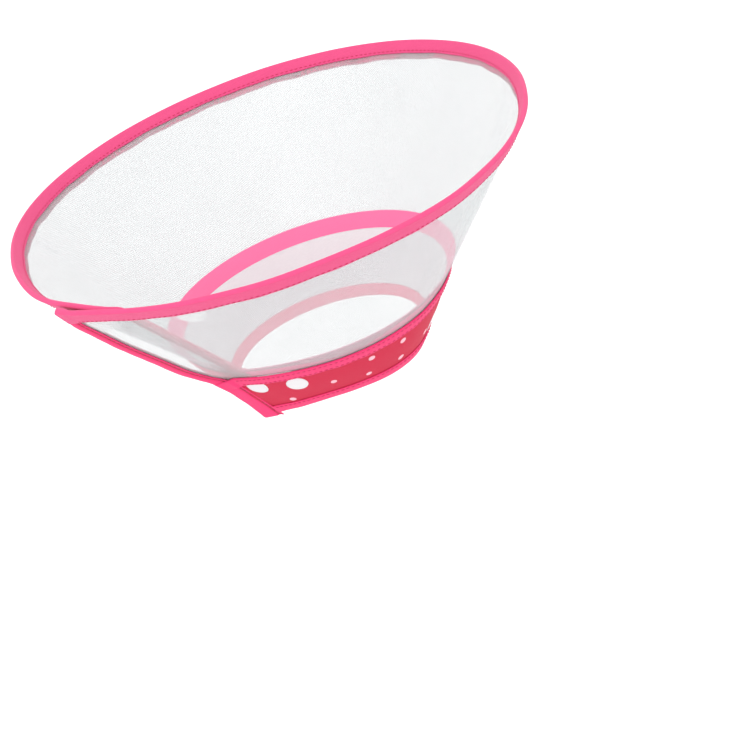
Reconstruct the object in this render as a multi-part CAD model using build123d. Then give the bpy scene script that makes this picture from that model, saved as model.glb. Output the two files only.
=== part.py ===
from build123d import *
import math
import os

# Recovery collar: a translucent film cone bound with folded tape, with a fabric neckband
# and a wrap-over flap held by hook-and-loop. Millimetres. +Z is the cone's axis, toward the
# wide mouth. The origin is the centre of the neck opening, on the plane that the neck edge
# stands on. The flap wraps over the front (-Y) and ends at the left front.

# ---- driving dimensions -------------------------------------------------------------
NECK_R = 54.7          # film mid-surface radius at the neck edge
NECK_Z = 1.4           # height of the film mid-surface there
KNEE_R = 75.5          # where the neckband ends and the bare film begins
KNEE_Z = 32.4
RIM_R = 140.0          # crest of the rim tape
RIM_Z = 114.6

FILM_T = 0.5           # film
TAPE_T = 1.0           # folded edge tape, each leg
FABRIC_T = 0.5         # outer fabric of the neckband
LINING_T = 1.4         # padded lining inside the neckband
BAND_TAPE_T = 0.6      # neckband tapes, each leg
INNER_TAPE_T = 0.8     # tape over the lining's top edge
STRIP_T = 1.0          # hook strip on the flap
LOOP_T = 0.8           # loop strip on the underlap
DISC_T = 1.4           # hook-and-loop discs
DISC_R = 7.0

RIM_OUT = 10.6         # width of the rim tape, outside
RIM_IN = 7.6           # and inside
TOP_TAPE_W = 7.0       # neckband top tape
LOW_TAPE_W = 5.5       # neckband bottom tape
INNER_W = 9.0          # inner tape, above the knee
END_W = 8.0            # end tapes
STRIP_W = 22.0         # hook strip height
DISC_DROP = 21.0       # disc centre below the rim crest, along the film
DISC_DROP_FREE = 18.0  # the same, for the second hook disc

LIFT = 2.5             # the flap's axis is shifted by this much so that it lies over the underlap
LIFT_AZ = 5.0          # azimuth where the shifted half meets the unshifted half

FLAP_END = 215.5       # azimuth of the flap's free end
UNDER_END = 231.0      # azimuth of the underlap's free end, inside the flap
HALF_GAP = 0.15        # degrees left at each side of a fold line
SECTORS = [            # name, first azimuth, last azimuth, on the shifted axis
    ("tab", FLAP_END, 252.0, True),
    ("front", 252.0, 305.0, True),
    ("right_front", 305.0, 365.0, True),
    ("right_rear", 5.0, 65.0, False),
    ("back", 65.0, 125.0, False),
    ("left_rear", 125.0, 183.0, False),
    ("left", 183.0, UNDER_END, False),
]
HOOK_DISCS = [("hook_disc_end", 219.5, DISC_DROP), ("hook_disc_second", 245.2, DISC_DROP_FREE)]
LOOP_DISCS = [("loop_disc_mated", 218.9, DISC_DROP), ("loop_disc_middle", 191.5, DISC_DROP)]
LOOP_DISC_REAR = ("loop_disc_rear", 164.5, 18.7)

# ---- the cone's profile -------------------------------------------------------------
low_len = math.hypot(KNEE_R - NECK_R, KNEE_Z - NECK_Z)
high_len = math.hypot(RIM_R - KNEE_R, RIM_Z - KNEE_Z)
low_dir = ((KNEE_R - NECK_R) / low_len, (KNEE_Z - NECK_Z) / low_len)
high_dir = ((RIM_R - KNEE_R) / high_len, (RIM_Z - KNEE_Z) / high_len)
low_n = (low_dir[1], -low_dir[0])
high_n = (high_dir[1], -high_dir[0])
dot = low_n[0] * high_n[0] + low_n[1] * high_n[1]
mitre = ((low_n[0] + high_n[0]) / (1 + dot), (low_n[1] + high_n[1]) / (1 + dot))
UK = low_len                 # distance up the film at the knee
UT = low_len + high_len      # and at the rim crest


def at(u, n):
    """A point u mm up the film from the neck edge and n mm outside its mid-surface."""
    if u <= UK:
        return (NECK_R + low_dir[0] * u + low_n[0] * n, NECK_Z + low_dir[1] * u + low_n[1] * n)
    u -= UK
    return (KNEE_R + high_dir[0] * u + high_n[0] * n, KNEE_Z + high_dir[1] * u + high_n[1] * n)


def band(u0, u1, n0, n1):
    """Outline of a layer from u0 to u1 up the film, between offsets n0 and n1."""
    out, back = [at(u0, n1)], [at(u0, n0)]
    if u0 < UK - 0.01 and u1 > UK + 0.01:
        out.append((KNEE_R + mitre[0] * n1, KNEE_Z + mitre[1] * n1))
        back.append((KNEE_R + mitre[0] * n0, KNEE_Z + mitre[1] * n0))
    out.append(at(u1, n1))
    back.append(at(u1, n0))
    return out + back[::-1]


def ring(points, first, last):
    """The outline turned about Z from azimuth first to azimuth last."""
    face = make_face(Plane.XZ * Polyline(*points, close=True))
    solid = revolve(face, axis=Axis.Z, revolution_arc=last - first)
    return Rot(0, 0, first) * solid


def place(solid, shifted):
    if not shifted:
        return solid
    a = math.radians(LIFT_AZ)
    return Pos(-LIFT * math.cos(a), -LIFT * math.sin(a), 0) * solid


def grow(points, shifted):
    """On the shifted axis every radius is larger by LIFT, so both halves meet at LIFT_AZ."""
    return [(r + LIFT, z) for r, z in points] if shifted else points


h = FILM_T / 2
fabric_out = h + FABRIC_T
tape_out = fabric_out + BAND_TAPE_T
lining_in = -h - LINING_T
film_out = band(0.6, UT - 1.0, -h, h)
rim_out = [at(UT - RIM_OUT, h), at(UT - RIM_OUT, h + TAPE_T), at(UT - 0.6, h + TAPE_T), at(UT, 0.6),
           at(UT, -0.6), at(UT - 0.6, -h - TAPE_T), at(UT - RIM_IN, -h - TAPE_T), at(UT - RIM_IN, -h),
           at(UT - 1.0, -h), at(UT - 1.0, h)]
fabric_pts = band(0.6, UK - 0.5, h, fabric_out)
lining_pts = band(0.6, UK - 0.5, lining_in, -h)
top_pts = band(UK - TOP_TAPE_W, UK - 0.5, fabric_out, tape_out)
inner_pts = band(UK - 0.4, UK + INNER_W, -h - INNER_TAPE_T, -h)


def low_pts(inner):
    """Bottom tape, folded round the neck edge; inner is the offset of the face that it lies on inside."""
    return [at(LOW_TAPE_W, fabric_out), at(LOW_TAPE_W, tape_out), at(-4, tape_out), at(-4, inner - BAND_TAPE_T),
            at(LOW_TAPE_W, inner - BAND_TAPE_T), at(LOW_TAPE_W, inner), at(0.6, inner), at(0.6, fabric_out)]


above_floor = Pos(0, 0, 100) * Box(400, 400, 200)


def disc(azimuth, drop, n0, n1, shifted):
    """A round disc bent to the film, cut along the film's normal at its centre."""
    shell = ring(grow(band(UT - drop - 12, UT - drop + 12, n0, n1), shifted), azimuth - 7, azimuth + 7)
    r, z = at(UT - drop, 0)
    if shifted:
        r += LIFT
    tilt = math.degrees(math.atan2(high_dir[0], high_dir[1]))
    cutter = Rot(0, 0, azimuth) * Pos(r, 0, z) * Rot(0, 90 + tilt, 0) * Cylinder(DISC_R, 12)
    return place(shell & cutter, shifted)


parts = {}
for name, first, last, shifted in SECTORS:
    a = first + (0 if name == "tab" else HALF_GAP)
    b = last - (0 if name == "left" else HALF_GAP)

    def make(points, first=a, last=b, shifted=shifted):
        return place(ring(grow(points, shifted), first, last), shifted)

    film = make(film_out)
    rim = make(rim_out)
    fabric = make(fabric_pts)
    top = make(top_pts)
    inner_face = -h if name == "tab" else lining_in
    low = make(low_pts(inner_face)) & above_floor
    lining = None if name == "tab" else make(lining_pts)
    inner = None if name == "tab" else make(inner_pts)

    if name in ("tab", "left"):
        # End tape: folded round the free edge, the same width all the way down.
        sign = 1 if name == "tab" else -1
        edge = first if name == "tab" else last
        inside = -h - BAND_TAPE_T if name == "tab" else lining_in - BAND_TAPE_T
        shell_high = band(UK - 0.5, UT, -h - TAPE_T, h + TAPE_T)
        shell_low = band(-4, UK - 0.5, inside, tape_out + 0.35)
        lo, hi = (edge - 4, edge + 12) if sign > 0 else (edge - 12, edge + 4)
        envelope = ring(grow(shell_high, shifted), lo, hi) + ring(grow(shell_low, shifted), lo, hi)
        slab = Rot(0, 0, edge) * Pos(150, sign * (END_W - TAPE_T) / 2, 60) * Box(300, END_W + TAPE_T, 200)
        envelope = place(envelope & slab, shifted) & above_floor
        end = envelope - film - fabric
        if lining is not None:
            end = end - lining
            inner = inner - envelope
        rim = rim - envelope
        top = top - envelope
        low = low - envelope
        parts[name + "_end_tape"] = end
        if name == "tab":
            flap_end_envelope = envelope

    parts[name + "_film"] = film
    parts[name + "_rim_tape"] = rim
    parts[name + "_neck_fabric"] = fabric
    parts[name + "_neck_top_tape"] = top
    parts[name + "_neck_bottom_tape"] = low
    if lining is not None:
        parts[name + "_neck_lining"] = lining
        parts[name + "_neck_inner_tape"] = inner

# Hook strip on the inside of the flap's neck end, loop strip on the outside of the underlap.
hook = band(LOW_TAPE_W + 1.0, LOW_TAPE_W + 1.0 + STRIP_W, -h - STRIP_T, -h)
parts["neck_hook_strip"] = place(ring(grow(hook, True), FLAP_END + 10.0, 250.0), True)
loop = band(LOW_TAPE_W + 0.5, UK - TOP_TAPE_W - 0.5, fabric_out, fabric_out + LOOP_T)
parts["neck_loop_strip"] = ring(loop, 190.0, UNDER_END - 8.5)
for name, azimuth, drop in HOOK_DISCS:
    parts[name] = disc(azimuth, drop, -h - DISC_T, -h, True)
# The first hook disc is sewn in under the end tape's inner edge.
parts["hook_disc_end"] = parts["hook_disc_end"] - flap_end_envelope
for name, azimuth, drop in LOOP_DISCS + [LOOP_DISC_REAR]:
    parts[name] = disc(azimuth, drop, h, h + DISC_T, False)

os.makedirs("parts", exist_ok=True)
for name, shape in parts.items():
    solids = shape.solids()
    if len(solids) != 1:
        raise ValueError(f"{name} has {len(solids)} solids")
    export_step(solids[0], f"parts/{name}.step")
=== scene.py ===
import math
import random

import bmesh
import bpy
import numpy as np
from mathutils import Matrix, Vector


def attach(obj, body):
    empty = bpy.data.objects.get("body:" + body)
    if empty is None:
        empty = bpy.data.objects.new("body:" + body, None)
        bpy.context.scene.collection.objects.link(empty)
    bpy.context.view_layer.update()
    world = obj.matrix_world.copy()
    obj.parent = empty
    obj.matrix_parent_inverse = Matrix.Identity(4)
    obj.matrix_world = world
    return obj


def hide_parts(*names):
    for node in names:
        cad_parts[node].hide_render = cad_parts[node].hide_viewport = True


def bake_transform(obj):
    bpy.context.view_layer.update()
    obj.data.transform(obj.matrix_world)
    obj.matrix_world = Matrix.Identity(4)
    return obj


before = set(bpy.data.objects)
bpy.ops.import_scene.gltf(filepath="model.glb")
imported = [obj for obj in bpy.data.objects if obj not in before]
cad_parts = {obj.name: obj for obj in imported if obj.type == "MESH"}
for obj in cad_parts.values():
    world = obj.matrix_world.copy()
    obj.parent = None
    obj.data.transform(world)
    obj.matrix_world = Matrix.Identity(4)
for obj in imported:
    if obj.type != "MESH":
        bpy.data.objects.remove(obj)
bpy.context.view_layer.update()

random.seed(7)
MM = 0.001

# ---- the cone, in the CAD frame, in millimetres ---------------------------------------
NECK_R, NECK_Z, KNEE_R, KNEE_Z, RIM_R, RIM_Z = 54.7, 1.4, 75.5, 32.4, 140.0, 114.6
LIFT, LIFT_AZ = 2.5, 5.0
A, B = 215.5, 591.0                  # free ends; azimuth runs on past 360 round the back to B
UK = math.hypot(KNEE_R - NECK_R, KNEE_Z - NECK_Z)
UH = math.hypot(RIM_R - KNEE_R, RIM_Z - KNEE_Z)
UT = UK + UH
LD = ((KNEE_R - NECK_R) / UK, (KNEE_Z - NECK_Z) / UK)
HD = ((RIM_R - KNEE_R) / UH, (RIM_Z - KNEE_Z) / UH)
SIN_H = HD[0]


def smooth(x, a, b):
    t = min(1.0, max(0.0, (x - a) / (b - a)))
    return t * t * (3 - 2 * t)


# how far the collar stands outside (+) or inside (-) a true cone, in millimetres along its normal, by azimuth
RIM_UNEVEN = [(0, -1.4), (15, -1.2), (30, -0.3), (50, -0.2), (75, 0.2), (95, 1.2), (115, 1.6), (130, 1.5), (148, 0.4), (165, -1.4),
              (178, -1.8), (192, -0.8), (215, -0.5), (240, -0.8), (262, -1.2), (278, -1.0), (290, 0.0), (300, 0.9), (308, 1.5),
              (318, 1.3), (328, 0.9), (338, 0.2), (350, -0.9)]
KNEE_UNEVEN = [(0, -0.3), (60, 0.0), (120, 0.0), (180, -0.4), (205, -1.5), (222, -2.2), (238, -2.4), (250, -2.4), (262, -1.9),
               (274, -1.1), (286, -0.5), (298, -0.2), (310, -0.1), (322, -0.6), (334, -0.7), (346, -0.4)]
NECK_UNEVEN = [(0, -1.2), (40, -0.3), (90, 0.0), (150, 0.0), (200, -0.4), (220, -0.3), (234, -0.6), (244, -1.4), (252, -2.4),
               (262, -3.0), (272, -2.7), (282, -2.0), (292, -0.9), (302, -0.1), (314, 0.2), (322, -0.2), (330, -0.9), (340, -1.6), (350, -1.8)]


def around(table, az):
    """Smooth closed curve through the table's points."""
    az %= 360
    n = len(table)
    i = max([k for k in range(n) if table[k][0] <= az] or [n - 1])
    p = [table[(i + j) % n] for j in (-1, 0, 1, 2)]
    x = [v[0] for v in p]
    if x[1] > az:
        x[1] -= 360
    x[0] -= 360 if x[0] > x[1] else 0
    x[2] += 360 if x[2] < x[1] else 0
    x[3] += 360 if x[3] < x[2] else 0
    y = [v[1] for v in p]
    t = (az - x[1]) / (x[2] - x[1])
    m1 = (y[2] - y[0]) / (x[2] - x[0]) * (x[2] - x[1])
    m2 = (y[3] - y[1]) / (x[3] - x[1]) * (x[2] - x[1])
    t2, t3 = t * t, t * t * t
    return (2 * t3 - 3 * t2 + 1) * y[1] + (t3 - 2 * t2 + t) * m1 + (-2 * t3 + 3 * t2) * y[2] + (t3 - t2) * m2


def along(table, u):
    """Smooth open curve through the table's points."""
    if u <= table[0][0]:
        return table[0][1]
    for (x0, y0), (x1, y1) in zip(table[:-1], table[1:]):
        if u <= x1:
            t = (u - x0) / (x1 - x0)
            return y0 + (y1 - y0) * (t * 0.6 + 0.4 * t * t * (3 - 2 * t))
    return table[-1][1]


def wave(az, u):
    """The unevenness of a soft sheet held round; the same on both layers of the overlap."""
    q = math.radians(az)
    s = max(0.0, u - UK) / UH
    k = min(1.0, max(0.0, u) / UK)
    low = around(NECK_UNEVEN, az) * (1 - k) + around(KNEE_UNEVEN, az) * k
    high = around(RIM_UNEVEN, az) + 0.12 * math.sin(11 * q + 1.0) + 0.10 * math.sin(19 * q + 2.0)
    return low * max(0.0, 1 - s) ** 1.2 + high * s ** 1.3


# the flap's free end curls outward: over the last mm of its length (second table) it turns by an angle in degrees;
# its neckband ends some mm short of the film's edge (third table)
CURL_ANGLE = [(-1, 27), (10, 21), (20, 21), (30, 23), (37, 25), (45, 24), (60, 21.5), (75, 19.5), (98, 18), (120, 15.3), (142, 12.7)]
CURL_WIDTH = [(0, 18), (37, 17), (60, 29), (100, 36), (142, 36)]
CURL_SHORT = [(-1, 8.0), (28, 8.3), (36, 6.0), (44, 2.5), (56, 0)]


def curl(t, u, n):
    """Distance from the flap's edge and normal offset, after the curl."""
    short = along(CURL_SHORT, u)
    if t < 90:
        t += short * (1 - t / 90) ** 2
    width = along(CURL_WIDTH, u)
    if t - short >= width:
        return t, n
    r = width / math.radians(along(CURL_ANGLE, u))
    q = (width + short - t) / r
    return short + width - r * math.sin(q) + n * math.sin(q), r * (1 - math.cos(q)) + n * math.cos(q)


def profile(u, n):
    """Radius and height for a point u mm up the film, n mm outside its middle, with the knee eased."""
    k = smooth(u, UK - 1.2, UK + 1.2)
    low = (NECK_R + LD[0] * u, NECK_Z + LD[1] * u)
    high = (KNEE_R + HD[0] * (u - UK), KNEE_Z + HD[1] * (u - UK))
    r, z = (low[0] * (1 - k) + high[0] * k, low[1] * (1 - k) + high[1] * k)
    nx, nz = LD[1] * (1 - k) + HD[1] * k, -(LD[0] * (1 - k) + HD[0] * k)
    s = math.hypot(nx, nz)
    return r + nx / s * n, z + nz / s * n


def bow(az, u):
    """How far the underlap's wide part is pressed out under the flap and just before it."""
    return 1.7 * smooth(az, 549, 566) * (1 - smooth(az, 568, 589)) * smooth(u, UK + 20, UT)


def surf(az, u, n):
    """A point on the cone in millimetres; the front half is on the shifted axis."""
    if az < 320:
        around_r = profile(max(u, 0), 0)[0] + LIFT
        t = math.radians(az - A) * around_r
        n -= 1.6 * (1 - smooth(t, 0, 13)) * smooth(u, UT - 16, UT - 3)      # the wide end's corner eases in
        t, n = curl(t, u, n)
        az = A + math.degrees(t / around_r)
    if az > 575:                                             # the underlap's rim dips and presses out a little at its end
        k = smooth(az, 576, 590) * smooth(u, UK + 20, UT)
        u, n = u - 2.8 * k, n + 0.3 * k
    if az > 365:
        n += bow(az, u)
    return plain(az, u, n + wave(az, u))


def plain(az, u, n):
    """The same on the true cone."""
    r, z = profile(u, n)
    q = math.radians(az)
    if az < 365:
        s = math.radians(LIFT_AZ)
        r += LIFT
        return (r * math.cos(q) - LIFT * math.cos(s), r * math.sin(q) - LIFT * math.sin(s), z)
    return (r * math.cos(q), r * math.sin(q), z)


def fan(az, u):
    """The same point in the flat-cut sheet, in centimetres, for the rib pattern."""
    length = (RIM_R / SIN_H) - (UT - u)
    a = math.radians(az) * SIN_H
    return (length * math.cos(a) / 10, length * math.sin(a) / 10)


def radius(u):
    return profile(u, 0)[0]


# ---- the stretches of the collar, with the bodies on each side of their fold lines -----
SEGMENTS = [  # name, first azimuth, last azimuth, fold line, body before it, body after it, half width of the bend
    ("tab", A, 278.5, 252.0, "tab_panel", "front_panel", 8.0),
    ("front", 278.5, 335.0, 305.0, "front_panel", "right_front_panel", 23.0),
    ("right", 335.0, 395.0, 365.0, "right_front_panel", "right_rear_panel", 23.5),
    ("rear", 395.0, 455.0, 425.0, "right_rear_panel", "back_panel", 23.5),
    ("back", 455.0, 514.0, 485.0, "back_panel", "left_rear_panel", 23.0),
    ("left", 514.0, B, 543.0, "left_rear_panel", "left_panel", 23.0),
]
NODES = {"tab": ["tab"], "front": ["front"], "right": ["right_front"], "rear": ["right_rear"], "back": ["back"],
         "left": ["left_rear", "left"]}


def bend(obj, seg):
    name, a0, a1, fold, before, after, half = seg
    p = Vector(plain(fold, 0, 0)) * MM
    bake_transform(obj)


def segment_of(az):
    return next(s for s in SEGMENTS if s[1] <= az <= s[2])


# ---- mesh tools --------------------------------------------------------------------------
def new_object(name, verts, faces, uvs=None, mat=None):
    me = bpy.data.meshes.new(name)
    me.from_pydata([Vector(v) * MM for v in verts], [], faces)
    me.update()
    if uvs is not None:
        layer = me.uv_layers.new(name="flat")
        data = np.zeros(len(me.loops) * 2, np.float32)
        index = np.zeros(len(me.loops), np.int64)
        me.loops.foreach_get("vertex_index", index)
        table = np.array(uvs, np.float32)
        data[0::2], data[1::2] = table[index, 0], table[index, 1]
        layer.data.foreach_set("uv", data)
    bm = bmesh.new()
    bm.from_mesh(me)
    bmesh.ops.recalc_face_normals(bm, faces=bm.faces)
    for f in bm.faces:
        f.smooth = len(f.verts) <= 4
        if len(f.verts) > 4:                 # a flat end face keeps its own normal
            for e in f.edges:
                e.smooth = False
    bm.to_mesh(me)
    bm.free()
    o = bpy.data.objects.new(name, me)
    bpy.context.scene.collection.objects.link(o)
    if mat is not None:
        me.materials.append(mat)
    return o


def steps(a, b, size):
    n = max(1, int(math.ceil(abs(b - a) / size)))
    return [a + (b - a) * i / n for i in range(n + 1)]


def sweep(name, azimuths, loop, mat, cap0=True, cap1=True, uv=None):
    """A closed outline loop(az) -> [(u, n)] carried round the collar."""
    verts, uvs, faces = [], [], []
    for az in azimuths:
        pts = loop(az)
        run = 0.0
        last = pts[0]
        for u, n in pts:
            run += math.hypot(u - last[0], n - last[1])
            last = (u, n)
            verts.append(surf(az, u, n))
            uvs.append(uv(az, u, run) if uv else (math.radians(az) * radius(max(u, 0)) / 10, run / 10))
    m = len(loop(azimuths[0]))
    for i in range(len(azimuths) - 1):
        for j in range(m):
            k = (j + 1) % m
            faces.append((i * m + j, i * m + k, (i + 1) * m + k, (i + 1) * m + j))
    if cap0:
        faces.append(tuple(range(m))[::-1])
    if cap1:
        faces.append(tuple((len(azimuths) - 1) * m + j for j in range(m)))
    return new_object(name, verts, faces, uvs, mat)


def rounded(points, r, k=3):
    """The outline with each corner rounded to radius r (or less, where a side is short)."""
    out = []
    for i, p in enumerate(points):
        a, b = points[i - 1], points[(i + 1) % len(points)]
        va, vb = (a[0] - p[0], a[1] - p[1]), (b[0] - p[0], b[1] - p[1])
        la, lb = math.hypot(*va), math.hypot(*vb)
        if la < 1e-6 or lb < 1e-6:
            continue
        d = min(r, la * 0.45, lb * 0.45)
        s = (p[0] + va[0] / la * d, p[1] + va[1] / la * d)
        e = (p[0] + vb[0] / lb * d, p[1] + vb[1] / lb * d)
        for j in range(k + 1):
            t = j / k
            out.append(((1 - t) ** 2 * s[0] + 2 * t * (1 - t) * p[0] + t * t * e[0],
                        (1 - t) ** 2 * s[1] + 2 * t * (1 - t) * p[1] + t * t * e[1]))
    return out


def split_long(points, size):
    """Extra points along long sides, so that a side can curve."""
    out = []
    for i, p in enumerate(points):
        q = points[(i + 1) % len(points)]
        n = max(1, int(math.hypot(q[0] - p[0], q[1] - p[1]) / size))
        out += [(p[0] + (q[0] - p[0]) * j / n, p[1] + (q[1] - p[1]) * j / n) for j in range(n)]
    return out


# ---- materials ---------------------------------------------------------------------------
def material(name):
    m = bpy.data.materials.new(name)
    m.use_nodes = True
    nt = m.node_tree
    nt.nodes.clear()
    out = nt.nodes.new("ShaderNodeOutputMaterial")
    bsdf = nt.nodes.new("ShaderNodeBsdfPrincipled")
    nt.links.new(bsdf.outputs[0], out.inputs["Surface"])
    return m, nt, bsdf


def node(nt, kind, **values):
    n = nt.nodes.new(kind)
    for key, v in values.items():
        if hasattr(n, key):
            setattr(n, key, v)
        else:
            n.inputs[key].default_value = v
    return n


def math_node(nt, op, a, b=None, c=None, clamp=False):
    n = nt.nodes.new("ShaderNodeMath")
    n.operation, n.use_clamp = op, clamp
    for i, v in enumerate((a, b, c)):
        if v is None:
            continue
        if isinstance(v, (int, float)):
            n.inputs[i].default_value = v
        else:
            nt.links.new(v, n.inputs[i])
    return n.outputs[0]


def mix_colour(nt, fac, c1, c2):
    n = nt.nodes.new("ShaderNodeMix")
    n.data_type = "RGBA"
    for sock, v in ((n.inputs["Factor"], fac), (n.inputs["A"], c1), (n.inputs["B"], c2)):
        if isinstance(v, (int, float)):
            sock.default_value = v
        elif isinstance(v, tuple):
            sock.default_value = (*v, 1.0) if len(v) == 3 else v
        else:
            nt.links.new(v, sock)
    return n.outputs["Result"]


def uv_xy(nt):
    uv = node(nt, "ShaderNodeUVMap", uv_map="flat")
    sep = nt.nodes.new("ShaderNodeSeparateXYZ")
    nt.links.new(uv.outputs[0], sep.inputs[0])
    return uv.outputs[0], sep.outputs[0], sep.outputs[1]


def srgb(*c):
    return tuple(((v / 255) / 12.92 if v / 255 <= 0.04045 else ((v / 255 + 0.055) / 1.055) ** 2.4) for v in c)


def weave(nt, uv, x, y, pitch_cm):
    """Height of a plain weave, 0 to 1: threads over and under each other."""
    k = 2 * math.pi / (2 * pitch_cm)
    sx = math_node(nt, "SINE", math_node(nt, "MULTIPLY", x, k))
    sy = math_node(nt, "SINE", math_node(nt, "MULTIPLY", y, k))
    prod = math_node(nt, "MULTIPLY", sx, sy)
    warp = math_node(nt, "ABSOLUTE", sx)
    weft = math_node(nt, "ABSOLUTE", sy)
    over = math_node(nt, "GREATER_THAN", prod, 0.0)
    a = math_node(nt, "MULTIPLY", over, warp)
    b = math_node(nt, "MULTIPLY", math_node(nt, "SUBTRACT", 1.0, over), weft)
    return math_node(nt, "ADD", a, b)


def cloth_material(name, colour, dark, pitch_mm=0.45, rough=0.78, sheen=0.08, bump=0.35, mottle=0.35, shine=0.3):
    m, nt, bsdf = material(name)
    uv, x, y = uv_xy(nt)
    h = weave(nt, uv, x, y, pitch_mm / 10)
    noise = node(nt, "ShaderNodeTexNoise", Scale=2.6, Detail=4.0, Roughness=0.6)
    nt.links.new(uv, noise.inputs["Vector"])
    fine = node(nt, "ShaderNodeTexNoise", Scale=30.0, Detail=3.0, Roughness=0.7)
    nt.links.new(uv, fine.inputs["Vector"])
    # the gaps between threads take the dark tone: painted shade in the weave; the noise below adds random tone
    f = math_node(nt, "MULTIPLY", math_node(nt, "SUBTRACT", 1.0, h), 0.30)
    f = math_node(nt, "ADD", f, math_node(nt, "MULTIPLY", math_node(nt, "SUBTRACT", noise.outputs["Fac"], 0.5), mottle), clamp=True)
    nt.links.new(mix_colour(nt, f, colour, dark), bsdf.inputs["Base Color"])
    height = math_node(nt, "ADD", h, math_node(nt, "MULTIPLY", fine.outputs["Fac"], 0.6))
    b = node(nt, "ShaderNodeBump", Strength=bump, Distance=0.00012)
    nt.links.new(height, b.inputs["Height"])
    nt.links.new(b.outputs[0], bsdf.inputs["Normal"])
    r = math_node(nt, "ADD", math_node(nt, "MULTIPLY", fine.outputs["Fac"], 0.16), rough - 0.08, clamp=True)
    nt.links.new(r, bsdf.inputs["Roughness"])
    bsdf.inputs["Specular IOR Level"].default_value = shine
    bsdf.inputs["Sheen Weight"].default_value = sheen
    bsdf.inputs["Sheen Roughness"].default_value = 0.5
    return m


def film_material():
    """Milky film with fine parallel embossed ribs: each rib lets a little less through than the groove beside it."""
    m, nt, bsdf = material("film_milky_ribbed")
    uv, x, y = uv_xy(nt)
    rib_angle = math.radians(RIB_ANGLE)
    pitch = RIB_PITCH / 10
    across = math_node(nt, "ADD", math_node(nt, "MULTIPLY", x, math.sin(rib_angle)),
                       math_node(nt, "MULTIPLY", y, -math.cos(rib_angle)))
    s = math_node(nt, "SINE", math_node(nt, "MULTIPLY", across, 2 * math.pi / pitch))
    rib = math_node(nt, "ADD", math_node(nt, "MULTIPLY", s, 0.5), 0.5)
    noise = node(nt, "ShaderNodeTexNoise", Scale=0.35, Detail=3.0)
    nt.links.new(uv, noise.inputs["Vector"])
    alpha = math_node(nt, "ADD", math_node(nt, "MULTIPLY", rib, FILM_ALPHA_SWING), FILM_ALPHA)
    alpha = math_node(nt, "ADD", alpha, math_node(nt, "MULTIPLY", math_node(nt, "SUBTRACT", noise.outputs["Fac"], 0.5), 0.06), clamp=True)
    nt.links.new(alpha, bsdf.inputs["Alpha"])
    bsdf.inputs["Base Color"].default_value = (*srgb(190, 194, 195), 1)
    b = node(nt, "ShaderNodeBump", Strength=0.10, Distance=0.00018)
    nt.links.new(s, b.inputs["Height"])
    nt.links.new(b.outputs[0], bsdf.inputs["Normal"])
    rough = math_node(nt, "ADD", math_node(nt, "MULTIPLY", noise.outputs["Fac"], 0.14), 0.30)
    nt.links.new(rough, bsdf.inputs["Roughness"])
    bsdf.inputs["Specular IOR Level"].default_value = 0.45
    return m


def plush_material():
    m, nt, bsdf = material("lining_plush")
    uv, x, y = uv_xy(nt)
    n1 = node(nt, "ShaderNodeTexNoise", Scale=9.0, Detail=6.0, Roughness=0.7)
    n2 = node(nt, "ShaderNodeTexVoronoi", Scale=22.0)
    nt.links.new(uv, n1.inputs["Vector"])
    nt.links.new(uv, n2.inputs["Vector"])
    f = math_node(nt, "ADD", math_node(nt, "MULTIPLY", n1.outputs["Fac"], 0.8), math_node(nt, "MULTIPLY", n2.outputs["Distance"], 0.5), clamp=True)
    nt.links.new(mix_colour(nt, f, srgb(204, 196, 200), srgb(222, 215, 218)), bsdf.inputs["Base Color"])
    b = node(nt, "ShaderNodeBump", Strength=0.6, Distance=0.0005)
    nt.links.new(f, b.inputs["Height"])
    nt.links.new(b.outputs[0], bsdf.inputs["Normal"])
    r = math_node(nt, "ADD", math_node(nt, "MULTIPLY", n1.outputs["Fac"], 0.1), 0.85)
    nt.links.new(r, bsdf.inputs["Roughness"])
    bsdf.inputs["Specular IOR Level"].default_value = 0.2
    bsdf.inputs["Sheen Weight"].default_value = 0.5
    return m


def pad_material(name, c1, c2, pitch_mm, hooks):
    """Hook pads are rows of small stems; loop pads are a felted mat."""
    m, nt, bsdf = material(name)
    uv, x, y = uv_xy(nt)
    if hooks:
        k = 2 * math.pi / (pitch_mm / 10)
        sx = math_node(nt, "SINE", math_node(nt, "MULTIPLY", x, k))
        sy = math_node(nt, "SINE", math_node(nt, "MULTIPLY", y, k))
        # the gaps between the hook stems get the darker colour c1: painted shade
        f = math_node(nt, "MULTIPLY", math_node(nt, "ADD", math_node(nt, "MULTIPLY", sx, sy), 1.0), 0.5)
    else:
        n = node(nt, "ShaderNodeTexNoise", Scale=26.0, Detail=6.0, Roughness=0.75, Distortion=1.5)
        nt.links.new(uv, n.inputs["Vector"])
        f = n.outputs["Fac"]
    nt.links.new(mix_colour(nt, f, c1, c2), bsdf.inputs["Base Color"])
    b = node(nt, "ShaderNodeBump", Strength=0.7, Distance=0.0004)
    nt.links.new(f, b.inputs["Height"])
    nt.links.new(b.outputs[0], bsdf.inputs["Normal"])
    r = math_node(nt, "ADD", math_node(nt, "MULTIPLY", f, 0.2), 0.45)
    nt.links.new(r, bsdf.inputs["Roughness"])
    bsdf.inputs["Specular IOR Level"].default_value = 0.4
    return m


RIB_PITCH = 1.05          # mm
RIB_ANGLE = math.degrees(math.radians(262) * SIN_H) + 47.8   # direction of the ribs in the flat sheet
FILM_ALPHA, FILM_ALPHA_SWING = 0.30, 0.22

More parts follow.
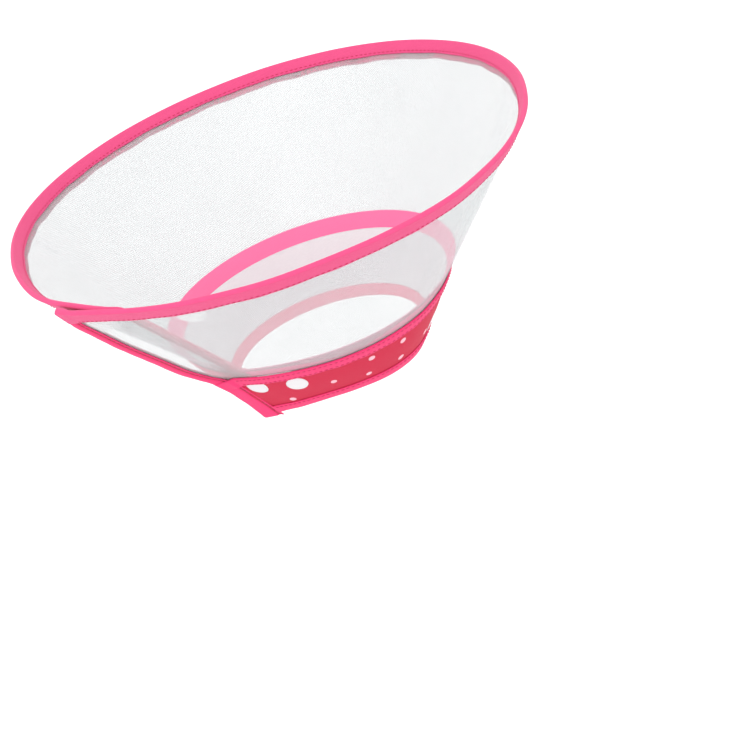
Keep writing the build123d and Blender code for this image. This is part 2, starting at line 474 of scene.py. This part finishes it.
M_TAPE = cloth_material("tape_pink_woven", srgb(216, 74, 124), srgb(178, 38, 86), 0.45, mottle=0.45)
M_BAND = cloth_material("tape_pink_band", srgb(227, 55, 111), srgb(188, 27, 79), 0.45, mottle=0.40, shine=0.22)
# the darker red of an end tape's stitched groove is painted shade of the groove, not a different tape
M_SEAM_SHADE = cloth_material("tape_seam_painted_shade", srgb(182, 30, 74), srgb(150, 18, 54), 0.45, mottle=0.35)
M_INNER = cloth_material("tape_pink_inner", srgb(233, 110, 154), srgb(212, 84, 130), 0.45, mottle=0.25)
M_FABRIC = cloth_material("neck_fabric_rose", srgb(192, 33, 65), srgb(161, 19, 46), 0.38, rough=0.7, sheen=0.04, bump=0.25, mottle=0.30, shine=0.16)
M_DOT = cloth_material("printed_dot_white", srgb(214, 211, 213), srgb(194, 191, 194), 0.38, rough=0.6, sheen=0.05, bump=0.2, mottle=0.2)
M_DOT_SMALL = cloth_material("printed_dot_small", srgb(232, 176, 188), srgb(224, 150, 168), 0.38, rough=0.6, sheen=0.05, bump=0.2, mottle=0.2)
# the end tapes' stitches are real thread, but their darker red is painted shade of the groove they lie in
M_THREAD_SHADED = cloth_material("thread_pink_painted_shade", srgb(190, 26, 70), srgb(148, 14, 48), 0.25, rough=0.6, bump=0.4, mottle=0.2)
M_THREAD = cloth_material("thread_pink", srgb(196, 40, 90), srgb(158, 24, 66), 0.25, rough=0.6, bump=0.4, mottle=0.2)
M_FILM = film_material()
M_LINING = plush_material()
M_HOOK = pad_material("hook_white", srgb(196, 193, 193), srgb(228, 225, 225), 1.3, True)
M_LOOP = pad_material("loop_white", srgb(204, 202, 203), srgb(230, 228, 229), 1.0, False)
M_HOOK_DISC = pad_material("hook_disc_translucent", srgb(214, 211, 211), srgb(236, 234, 234), 1.3, True)
M_LOOP_DISC = pad_material("loop_disc_translucent", srgb(214, 212, 213), srgb(236, 235, 236), 1.0, False)
# the discs' emission is painted light: a glow standing in for light coming through the milky plastic
for m, alpha, painted_glow in ((M_HOOK_DISC, 0.75, 0.5), (M_LOOP_DISC, 0.3, 0.6)):   # milky plastic; the glow is light coming through
    sockets = m.node_tree.nodes["Principled BSDF"].inputs
    sockets["Alpha"].default_value = alpha
    sockets["Emission Color"].default_value = (1.0, 0.99, 0.99, 1)
    sockets["Emission Strength"].default_value = painted_glow

# ---- layers ------------------------------------------------------------------------------
H = 0.25
AZ_STEP = 1.5
made = {}


def keep(name, obj, seg=None, body=None, stands_for=()):
    if seg is not None:
        bend(obj, seg)
    else:
        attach(obj, body)
    if stands_for:
        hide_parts(*stands_for)
    made[name] = obj
    return obj


def film_loop(az):
    us = steps(0.6, UK - 1.5, 4.0) + steps(UK - 0.75, UK + 0.75, 0.75) + steps(UK + 1.5, UT - 1.0, 4.0)
    return [(u, H) for u in us] + [(u, -H) for u in us[::-1]]


RIM_SHAPE = rounded([(UT - 10.6, H), (UT - 10.6, H + 1.0), (UT - 0.3, H + 1.0), (UT + 0.15, 0.0), (UT - 0.3, -H - 1.0),
                     (UT - 7.6, -H - 1.0), (UT - 7.6, -H), (UT - 1.2, -H), (UT - 1.2, H)], 0.55)


def rim_loop(az):
    """Soft tape: its free edges wander by a fraction of a millimetre and its back is a little puffed. At both free ends
    it lies over the end tape and its corner is rounded."""
    q = math.radians(az)
    d = 0.25 * math.sin(23 * q) + 0.18 * math.sin(41 * q + 1.0)
    t = min(math.radians(az - A), math.radians(B - az)) * (RIM_R - 2)
    rise = (0.4 if az < 300 else 0.1) * (1 - smooth(t, 6.0, 9.5))
    size = 3.4 if az < 300 else 6.0
    nose = max(0.0, 1 - (t + 1.4) / size)
    drop = size * (1 - math.sqrt(max(0.0, 1 - nose * nose)))
    out = []
    for u, n in RIM_SHAPE:
        k = smooth(UT - u, 5.0, 10.0)
        puff = 0.22 * math.exp(-((UT - u - 3.0) / 2.6) ** 2) + rise
        n += puff if n > H + 0.3 else -puff if n < -H - 0.3 else 0
        out.append((u + d * k - drop * (1 - smooth(UT - u, 0.0, 7.0)), n * (1 - 0.6 * nose ** 3)))
    return out


def fabric_loop(az):
    us = steps(0.8, UK - 0.8, 2.4)
    def puff(u):
        t = min(1, max(0, (u - 5.5) / (UK - 12.5)))
        return 0.55 * math.sin(math.pi * t)
    return [(u, 0.72 + puff(u)) for u in us] + [(u, 0.27) for u in us[::-1]]


TOP_SHAPE = rounded([(UK - 7.0, 0.78), (UK - 7.0, 1.42), (UK - 3.6, 1.5), (UK - 0.1, 1.36), (UK + 0.1, 0.45), (UK - 0.5, 0.45), (UK - 0.5, 0.78)], 0.35)


def top_loop(az):
    """The top tape lies over the flap's end tape, so it rises there, and thins at its own cut end."""
    q = math.radians(az)
    d = 0.18 * math.sin(31 * q + 2.0)
    t = math.radians(az - A) * (radius(UK - 4) + LIFT)
    rise = 0.92 * (1 - smooth(t, 9.6, 13.0)) * (0.1 + 0.9 * smooth(t, -1.4, 2.2))
    thin = 1 - 0.6 * (1 - smooth(t, -0.8, 1.2))
    return [(u + (d if u < UK - 4 else 0), 0.78 + rise + (n - 0.78) * thin) for u, n in TOP_SHAPE]


def low_shape(inner):
    return rounded([(5.5, 0.78), (5.5, 1.42), (2.6, 1.55), (-0.9, 1.35), (-0.9, inner - 0.6), (5.5, inner - 0.6), (5.5, inner), (0.4, inner), (0.4, 0.78)], 0.35)


LOW_TAB, LOW_PAD = low_shape(-H), low_shape(-1.65)


def lining_loop(az):
    q = math.radians(az)
    us = steps(0.8, UK - 0.8, 2.2)
    def puff(u):
        t = min(1, max(0, (u - 3.0) / (UK - 4.0)))
        return 1.3 * math.sin(math.pi * t) ** 0.7 * (0.85 + 0.15 * math.sin(17 * q))
    return [(u, -0.27) for u in us] + [(u, -1.5 - puff(u)) for u in us[::-1]]


INNER_SHAPE = rounded([(UK - 1.0, -0.27), (UK + 9.0, -0.27), (UK + 9.0, -0.95), (UK + 4, -1.2), (UK - 1.0, -1.5)], 0.3)
FILM_ENDS = {"tab": (True, False), "left": (False, True)}


for seg in SEGMENTS:
    name, a0, a1, fold = seg[:4]
    azs = steps(a0, a1, AZ_STEP)
    nodes = NODES[name]
    caps = FILM_ENDS.get(name, (False, False))
    o = sweep(f"film_{name}", azs, film_loop, M_FILM, caps[0], caps[1], uv=lambda az, u, run: fan(az, u))
    keep(o.name, o, seg, stands_for=[f"{n}_film" for n in nodes])

    # tapes stop under an end tape, so many mm from the flap's edge and from the underlap's; the top tape runs on over it
    def trimmed(first, last, u, flap, under):
        lo = first + (math.degrees(flap / (radius(u) + LIFT)) if name == "tab" else 0)
        hi = last - (math.degrees(under / radius(u)) if name == "left" else 0)
        return steps(lo, hi, AZ_STEP)

    rz = trimmed(a0, a1, UT - 2, -1.4, -1.4)
    if name == "tab":
        rz = steps(rz[0], A + 4, 0.2) + steps(A + 5, a1, AZ_STEP)
    if name == "left":
        rz = steps(a0, B - 6, AZ_STEP) + steps(B - 5, rz[-1], 0.2)
    o = sweep(f"rim_tape_{name}", rz, rim_loop, M_TAPE)
    keep(o.name, o, seg, stands_for=[f"{n}_rim_tape" for n in nodes])

    o = sweep(f"neck_fabric_{name}", azs, fabric_loop, M_FABRIC)
    keep(o.name, o, seg, stands_for=[f"{n}_neck_fabric" for n in nodes])

    tz = trimmed(a0, a1, UK - 4, -0.8, 7.4)
    if name == "tab":
        tz = steps(tz[0], A + 14, 0.5) + steps(A + 15, a1, AZ_STEP)
    o = sweep(f"neck_top_tape_{name}", tz, top_loop, M_BAND)
    keep(o.name, o, seg, stands_for=[f"{n}_neck_top_tape" for n in nodes])

    bz = trimmed(a0, a1, 2, 10.2, 7.4)
    o = sweep(f"neck_bottom_tape_{name}", bz, lambda az: LOW_TAB if az < 252 else LOW_PAD, M_BAND)
    keep(o.name, o, seg, stands_for=[f"{n}_neck_bottom_tape" for n in nodes])

    l0 = 252.4 if name == "tab" else a0
    lz = steps(l0, a1 - (1.0 if name == "left" else 0), AZ_STEP)
    o = sweep(f"neck_lining_{name}", lz, lining_loop, M_LINING)
    keep(o.name, o, seg, stands_for=[f"{n}_neck_lining" for n in nodes if n != "tab"] + (["front_neck_lining"] if name == "tab" else []))

    iz = trimmed(236.0 if name == "tab" else a0, a1, UK, 0.0, 6.0)
    o = sweep(f"neck_inner_tape_{name}", iz, lambda az: INNER_SHAPE, M_INNER)
    keep(o.name, o, seg, stands_for=[f"{n}_neck_inner_tape" for n in nodes if n != "tab"] + (["front_neck_inner_tape"] if name == "tab" else []))


# ---- end tapes -----------------------------------------------------------------------------
def end_width(u, wide):
    """The leg is as wide as the rim's fold allows on the film, and wider where it is gathered over the neckband."""
    return 6.5 + (wide - 6.5) * (1 - smooth(u, UK - 6, UK + 7))


def end_levels(u, inner_neck):
    """Undersides of the outer and the inner leg, and how thick the legs are."""
    on_neck = 1 - smooth(u, UK - 2.0, UK + 4.0)
    base_out = H + 0.03 + 0.52 * on_neck
    base_in = -H - 0.03 - (-inner_neck - H) * on_neck
    return base_out, base_in, 0.85 - 0.1 * on_neck - 0.1 * smooth(u, UT - 13, UT - 10)


def end_tape(name, az_edge, sign, inner_neck, wide):
    """Folded over the free edge; sign +1 if the film lies toward larger azimuths."""
    verts, uvs, faces = [], [], []
    us = steps(-0.4, UK - 8, 1.1) + steps(UK - 7, UK + 8, 1.0) + steps(UK + 10, UT - 15, 3.0) + steps(UT - 13.5, UT - 1.6, 0.9)
    for u in us:
        base_out, base_in, leg = end_levels(u, inner_neck)
        out, inn = base_out + leg, base_in - leg
        crown = smooth(u, UT - 6.0, UT - 1.0)
        w = end_width(u, wide)
        e = -1.0 + crown * 1.8 + 0.12 * math.sin(u * 0.55) + 0.5 * (1 - smooth(u, -2.2, -0.8))
        mid = (out + inn) / 2
        half = (out - inn) / 2
        shape = [(w, base_out), (w, out - 0.12), (w - 0.6, out), (w - 1.0, out - 0.4), (w - 2.8, out - 0.4), (w - 3.3, out), (w * 0.35, out + 0.2), (0.6, out + 0.22),
                 (e + 0.35, mid + half * 0.8), (e - 0.15, mid + half * 0.25), (e - 0.15, mid - half * 0.25), (e + 0.35, mid - half * 0.8),
                 (0.6, inn - 0.18), (w * 0.35, inn - 0.15), (w - 3.3, inn), (w - 2.8, inn + 0.4), (w - 1.0, inn + 0.4), (w - 0.6, inn), (w, inn + 0.12), (w, base_in),
                 (0.3, base_in), (0.3, base_out)]
        shape = rounded(shape, 0.45, 2)
        run = 0.0
        last = shape[0]
        for t, n in shape:
            run += math.hypot(t - last[0], n - last[1])
            last = (t, n)
            n *= 1 - 0.3 * crown
            az = az_edge + sign * math.degrees(t / radius(max(u, 0)))
            tail = 3.7 * min(1.0, max(0.0, (t + 1) / (wide + 1))) * (1 - smooth(u, -0.4, 8)) if sign > 0 else 0.0
            if n < mid:
                tail *= 0.5
            verts.append(surf(az, u - tail, n))              # the flap's end hangs a little below the neck edge
            uvs.append((u / 10, run / 10))
    m = len(shape)
    for i in range(len(us) - 1):
        for j in range(m):
            k = (j + 1) % m
            faces.append((i * m + j, i * m + k, (i + 1) * m + k, (i + 1) * m + j))
    faces.append(tuple(range(m)))
    faces.append(tuple((len(us) - 1) * m + j for j in range(m))[::-1])
    o = new_object(name, verts, faces, uvs, M_BAND)
    o.data.materials.append(M_SEAM_SHADE)                          # the sunk band that the row of stitches runs in
    # the groove's faces take the darker colour: painted shade
    for f in o.data.polygons:
        if len(f.vertices) == 4:
            j = [v % m for v in f.vertices]
            if max(j) - min(j) < 4 and (10 <= min(j) and max(j) <= 13 or m - 22 <= min(j) and max(j) <= m - 19):
                f.material_index = 1
    return o


o = end_tape("end_tape_flap", A, 1, -H, 10.8)
keep(o.name, o, body="tab_panel", stands_for=["tab_end_tape"])
o = end_tape("end_tape_underlap", B, -1, -1.65, 8.0)
keep(o.name, o, body="left_panel", stands_for=["left_end_tape"])


# ---- printed dots --------------------------------------------------------------------------
def fabric_out(u):
    t = min(1, max(0, (u - 5.5) / (UK - 12.5)))
    return 0.72 + 0.55 * math.sin(math.pi * t)


def dot_mesh(dots):
    """Each dot is a thin print that follows the fabric: rings of points, closed underneath."""
    verts, uvs, faces = [], [], []
    for az0, u0, r in dots:
        rings, around = (6 if r > 3 else 3), (40 if r > 3 else 20)
        base = len(verts)
        def put(x, y, dn):
            u = u0 + y
            u = min(max(u, 5.2), UK - 6.7)
            az = az0 + math.degrees(x / radius(u))
            verts.append(surf(az, u, fabric_out(u) + dn))
            uvs.append(((math.radians(az0) * 66 + x) / 10, u / 10))
        put(0, 0, 0.07)
        for i in range(1, rings + 1):
            for j in range(around):
                a = 2 * math.pi * j / around
                wobble = 1 + 0.015 * math.sin(3 * a + az0)
                put(r * wobble * i / rings * math.cos(a), r * wobble * i / rings * math.sin(a), 0.07 if i < rings else 0.045)
        for j in range(around):
            faces.append((base, base + 1 + j, base + 1 + (j + 1) % around))
        for i in range(rings - 1):
            for j in range(around):
                p, q = base + 1 + i * around + j, base + 1 + i * around + (j + 1) % around
                faces.append((p, p + around, q + around, q))
        low = len(verts)
        for j in range(around):
            a = 2 * math.pi * j / around
            put(r * math.cos(a), r * math.sin(a), -0.12)
        top = base + 1 + (rings - 1) * around
        for j in range(around):
            k = (j + 1) % around
            faces.append((top + j, top + k, low + k, low + j))
        faces.append(tuple(low + j for j in range(around))[::-1])
    return verts, uvs, faces


SEEN = [(231.2, 27.2, 6.2), (250.6, 23.9, 6.0), (266.4, 16.1, 1.7), (241.4, 8.8, 1.9), (285.5, 25.3, 1.8), (283.8, 10.7, 1.6),
        (301.2, 25.2, 1.8), (301.9, 10.2, 1.8), (319.8, 14.0, 1.7)]
dots = list(SEEN)
az = 330.0
while az < 575:
    # the same mix carried on round the band: mostly small dots, a large one now and then
    if random.random() < 0.34:
        cand = (az, random.choice([13.5, 18.0, 24.0]), 6.1)
    else:
        cand = (az, random.uniform(7.5, 27.0), 1.8)
    gap = min(math.hypot((cand[0] - d[0]) * math.pi / 180 * 66, cand[1] - d[1]) - cand[2] - d[2] for d in dots)
    if gap > 2.5:
        dots.append(cand)
    az += 3.1
for seg in SEGMENTS:
    # a dot that would cross a segment's edge belongs to the segment that holds its centre
    mine = [d for d in dots if seg[1] <= d[0] < seg[2]]
    for kind, some, mat in (("large", [d for d in mine if d[2] > 3], M_DOT), ("small", [d for d in mine if d[2] < 3], M_DOT_SMALL)):
        if some:
            v, t, f = dot_mesh(some)
            o = new_object(f"neck_dots_{kind}_{seg[0]}", v, f, t, mat)
            keep(o.name, o, seg)


# ---- stitches --------------------------------------------------------------------------------
def stitch_mesh(points_fn, run, r=0.27, length=2.1, pitch=2.9):
    """points_fn(s) -> (position, direction, outward) at s mm along the seam; run is the seam's length in mm."""
    verts, uvs, faces = [], [], []
    n = int(run // pitch)
    around = 6
    for i in range(n):
        s = (i + 0.5) * run / n
        p, d, out = points_fn(s)
        d, out = d.normalized(), out.normalized()
        side = d.cross(out)
        base = len(verts)
        prof = [(-0.5, 0.0, -0.9), (-0.42, 0.75, -0.2), (-0.15, 1.0, 0.35), (0.15, 1.0, 0.35), (0.42, 0.75, -0.2), (0.5, 0.0, -0.9)]
        for along, size, lift in prof:
            for j in range(around):
                a = 2 * math.pi * j / around
                q = p + d * along * length + side * math.cos(a) * r * max(size, 0.25) + out * (math.sin(a) * r * max(size, 0.25) + lift * r)
                verts.append(tuple(q))
                uvs.append((along * length / 10, a * r / 10))
        for k in range(len(prof) - 1):
            for j in range(around):
                jj = (j + 1) % around
                faces.append((base + k * around + j, base + k * around + jj, base + (k + 1) * around + jj, base + (k + 1) * around + j))
        faces.append(tuple(base + j for j in range(around))[::-1])
        faces.append(tuple(base + (len(prof) - 1) * around + j for j in range(around)))
    return verts, uvs, faces


def seam(az0, az1, u, n):
    """A seam round the collar at height u, on the surface n."""
    r = radius(u) + (LIFT if az0 < 360 else 0)
    run = math.radians(az1 - az0) * r
    def fn(s):
        az = az0 + (az1 - az0) * s / run
        p = Vector(surf(az, u, n))
        d = Vector(surf(az + 0.2, u, n)) - p
        o = Vector(surf(az, u, n + (1 if n > 0 else -1))) - p
        return p, d, o
    return fn, run


for seg in SEGMENTS:
    name, a0, a1 = seg[:3]
    verts, uvs, faces = [], [], []
    seams = [(UT - 9.2, H + 1.0, 7.5), (UT - 6.3, -H - 1.0, 7.5), (UK - 5.8, 1.44, 13.5), (UK - 1.4, 1.40, 13.5), (4.3, 1.48, 11.5)]
    for u, n, clear in seams:
        lo = a0 + (math.degrees(clear / radius(u)) if name == "tab" else 0)
        hi = a1 - (math.degrees(8.5 / radius(u)) if name == "left" else 0)
        fn, run = seam(lo, hi, u, n)
        v, t, f = stitch_mesh(fn, run)
        k = len(verts)
        verts += v
        uvs += t
        faces += [tuple(i + k for i in g) for g in f]
    o = new_object(f"stitching_{name}", verts, faces, uvs, M_THREAD)
    keep(o.name, o, seg)


def end_seam(az_edge, sign, wide, inner_neck, side):
    """The row along an end tape's leg, in its groove, outside (side +1) or inside (-1)."""
    def fn(s):
        u = 1.2 + s
        base_out, base_in, leg = end_levels(u, inner_neck)
        n = base_out + leg - 0.36 if side > 0 else base_in - leg + 0.36
        az = az_edge + sign * math.degrees((end_width(u, wide) - 1.9) / radius(u))
        p = Vector(surf(az, u, n))
        return p, Vector(surf(az, u + 0.3, n)) - p, Vector(surf(az, u, n + side)) - p
    return fn, UT - 3.6


for which, az_edge, sign, wide, inner_neck, body in (("flap", A, 1, 10.8, -H, "tab_panel"), ("underlap", B, -1, 8.0, -1.65, "left_panel")):
    verts, uvs, faces = [], [], []
    for side in (1, -1):
        fn, run = end_seam(az_edge, sign, wide, inner_neck, side)
        v, t, f = stitch_mesh(fn, run)
        k = len(verts)
        verts += v
        uvs += t
        faces += [tuple(i + k for i in g) for g in f]
    # darker thread: real stitches carrying painted shade of the groove
    o = new_object(f"stitching_end_{which}", verts, faces, uvs, M_THREAD_SHADED)
    keep(o.name, o, body=body)


# ---- hook-and-loop ---------------------------------------------------------------------------
def layer_gap(az, u):
    """Distance between the two films' middles where the flap, curl included, lies over the underlap."""
    around_r = radius(u) + LIFT
    lifted = curl(math.radians(az - A) * around_r, u, 0)[1]
    return LIFT * (1 - math.cos(math.radians(az - LIFT_AZ))) * HD[1] + lifted - bow(az + 360, u)


def disc(name, az0, drop, n0, n1, r, mat, seg, body, node_name, cut=None, mated=False):
    """A moulded disc bent to the film, with a rounded edge. cut keeps only what is past that many mm from the flap's edge;
    mated runs its far face to the middle of the gap between the flap and the underlap."""
    verts, uvs, faces = [], [], []
    u0 = UT - drop
    around, rings = 48, 7
    def put(x, y, n):
        if cut is not None:
            edge = math.radians(az0 - A) * (radius(u0 + y) + LIFT)
            x = max(x, cut - edge)
        az = az0 + math.degrees(x / (radius(u0 + y) + (LIFT if az0 < 365 else 0)))
        if mated:
            reach = (layer_gap(az % 360, u0 + y) / 2 - 0.08 - H) / 1.4
            n = math.copysign(H + (abs(n) - H) * reach, n)
        verts.append(surf(az, u0 + y, n))
        uvs.append((x / 10, y / 10))
    near, far = (n0, n1)
    for side in (0, 1):
        base_n = (near, far)[side]
        other = (near, far)[1 - side]
        put(0, 0, base_n)
        for i in range(1, rings + 1):
            k = i / rings
            n = base_n + (other - base_n) * 0.30 * max(0.0, (k - 0.86) / 0.14) ** 2
            for j in range(around):
                a = 2 * math.pi * j / around
                put(r * k * math.cos(a), r * k * math.sin(a), n)
    half = 1 + rings * around
    for side in (0, 1):
        b = side * half
        for j in range(around):
            faces.append((b, b + 1 + j, b + 1 + (j + 1) % around))
        for i in range(rings - 1):
            for j in range(around):
                p, q = b + 1 + i * around + j, b + 1 + i * around + (j + 1) % around
                faces.append((p, p + around, q + around, q))
    e0, e1 = 1 + (rings - 1) * around, half + 1 + (rings - 1) * around
    for j in range(around):
        k = (j + 1) % around
        faces.append((e0 + j, e0 + k, e1 + k, e1 + j))
    o = new_object(name, verts, faces, uvs, mat)
    keep(name, o, seg, body, stands_for=[node_name])
    return o


disc("hook_pad_end", 219.5, 21.0, -H - 0.02, -H - 1.4, 7.0, M_HOOK_DISC, None, "tab_panel", "hook_disc_end", cut=6.7, mated=True)
disc("hook_pad_second", 245.2, 18.0, -H - 0.02, -H - 1.4, 7.0, M_HOOK_DISC, None, "tab_panel", "hook_disc_second")
disc("loop_pad_mated", 578.9, 21.0, H + 0.02, H + 1.4, 7.0, M_LOOP_DISC, None, "left_panel", "loop_disc_mated", mated=True)
disc("loop_pad_middle", 551.5, 21.0, H + 0.02, H + 1.4, 7.0, M_LOOP_DISC, SEGMENTS[-1], None, "loop_disc_middle")
disc("loop_pad_rear", 524.5, 18.7, H + 0.02, H + 1.4, 7.0, M_LOOP_DISC, SEGMENTS[-1], None, "loop_disc_rear")

o = sweep("hook_strip", steps(A + 10, 250, 1.0), lambda az: rounded([(6.6, -0.28), (28.4, -0.28), (28.4, -1.2), (6.6, -1.2)], 0.3), M_HOOK)
keep(o.name, o, SEGMENTS[0], stands_for=["neck_hook_strip"])
o = sweep("loop_strip", steps(550, 582.4, 1.0), lambda az: rounded([(6.1, 1.05), (UK - 7.6, 1.05), (UK - 7.6, 1.9), (6.1, 1.9)], 0.3), M_LOOP)
keep(o.name, o, SEGMENTS[-1], stands_for=["neck_loop_strip"])

# ---- stage -------------------------------------------------------------------------------------
FLOOR_Z = -0.18          # the collar is shown as high as it is worn, so that it can open without meeting the floor
me = bpy.data.meshes.new("floor")
me.from_pydata([(-6, -6, FLOOR_Z), (6, -6, FLOOR_Z), (6, 6, FLOOR_Z), (-6, 6, FLOOR_Z)], [], [(0, 1, 2, 3)])
floor = bpy.data.objects.new("floor", me)
bpy.context.scene.collection.objects.link(floor)
fm, fnt, fb = material("floor_pale")
fb.inputs["Base Color"].default_value = (0.93, 0.93, 0.93, 1)
fb.inputs["Roughness"].default_value = 0.9
me.materials.append(fm)

world = bpy.data.worlds.new("studio")
bpy.context.scene.world = world
world.use_nodes = True
bg = world.node_tree.nodes["Background"]
bg.inputs["Color"].default_value = (1, 1, 1, 1)
bg.inputs["Strength"].default_value = 1.25


def area(name, place, target, size, power, shape="SQUARE"):
    light = bpy.data.lights.new(name, "AREA")
    light.size, light.energy = size, power
    lo = bpy.data.objects.new(name, light)
    lo.location = place
    lo.rotation_euler = (Vector(target) - Vector(place)).to_track_quat("-Z", "Y").to_euler()
    bpy.context.scene.collection.objects.link(lo)


area("key", (-0.7, -1.0, 1.7), (0, 0, 0.06), 1.6, 16)
area("fill", (1.3, -0.9, 1.0), (0, 0, 0.06), 1.4, 3)
area("front", (0.1, -1.6, 0.45), (0, 0, 0.05), 1.2, 0.8)

bpy.context.scene.view_settings.view_transform = "Standard"

# ---- camera: fitted to the rim and neck circles ---------------------------------------------------
EL, DIST, ROLL, U0, V0 = math.radians(21.430), 7.8789, math.radians(20.315), 264.45, 162.63
F = 375 / math.tan(math.radians(10))
back = np.array([0, -math.cos(EL), math.sin(EL)])
bx = np.array([1.0, 0, 0])
basis = np.stack([bx, np.cross(back, bx), back])
ray = np.array([(U0 - 375) / F, -(V0 - 375) / F, -1.0])
ray /= np.linalg.norm(ray)
c, s = math.cos(ROLL), math.sin(ROLL)
rr = np.array([[c, -s, 0], [s, c, 0], [0, 0, 1]])
a = np.array([0, 0, -1.0])
v = np.cross(a, ray)
kx = np.array([[0, -v[2], v[1]], [v[2], 0, -v[0]], [-v[1], v[0], 0]])
rt = np.eye(3) + kx + kx @ kx / (1 + a @ ray)
rot = rt @ rr @ basis
place = back * DIST * RIM_R * MM + np.array([0, 0, RIM_Z * MM])
cam_data = bpy.data.cameras.new("camera")
cam_data.sensor_width = 36
cam_data.lens = 18 / math.tan(math.radians(10))
cam_data.clip_start, cam_data.clip_end = 0.05, 50
cam = bpy.data.objects.new("camera", cam_data)
bpy.context.scene.collection.objects.link(cam)
m4 = Matrix([[*rot.T[i], place[i]] for i in range(3)] + [[0, 0, 0, 1]])
cam.matrix_world = m4
bpy.context.scene.camera = cam

bpy.context.view_layer.update()
